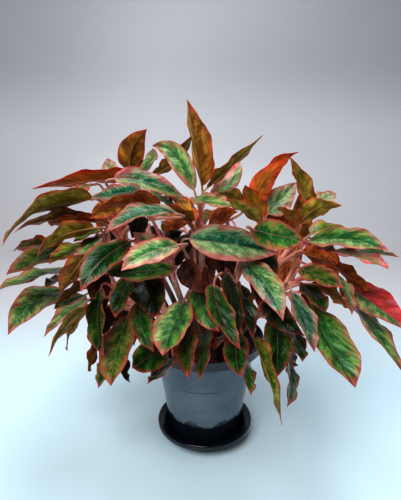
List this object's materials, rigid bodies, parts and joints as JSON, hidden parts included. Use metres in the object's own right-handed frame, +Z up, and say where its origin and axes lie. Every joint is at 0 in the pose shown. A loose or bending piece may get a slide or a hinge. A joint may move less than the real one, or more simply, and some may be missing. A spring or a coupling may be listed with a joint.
{
  "type": "potted chinese evergreen",
  "caption": "Bushy chinese evergreen with broad red-edged leaves on long stalks, in a tapered dark nursery pot standing on a round saucer.",
  "frame": {"origin": "on the surface the saucer stands on, at the axis of the pot", "axes": "+Z up along the pot's axis, -Y towards the front of the plant, +X to its right as seen from the front"},
  "size_m": [0.6906, 0.7149, 0.7111],
  "materials": {
    "saucer": "gloss",
    "pot": "gloss",
    "soil": "matte",
    "foliage": "satin"
  },
  "bodies": {
    "root": {"saucer": "saucer", "pot": "pot", "soil": "soil", "stem_centre_top": "foliage", "stem_left_top": "foliage", "stem_left": "foliage", "stem_left_middle": "foliage", "stem_left_low": "foliage", "stem_front_left": "foliage", "stem_front_left_low": "foliage", "stem_front": "foliage", "stem_front_right": "foliage", "stem_right_top": "foliage", "stem_right": "foliage", "stem_right_middle": "foliage", "stem_right_low": "foliage", "stem_back_left": "foliage", "stem_back": "foliage", "stem_back_right": "foliage", "stem_far_right": "foliage"}
  },
  "joints": []
}
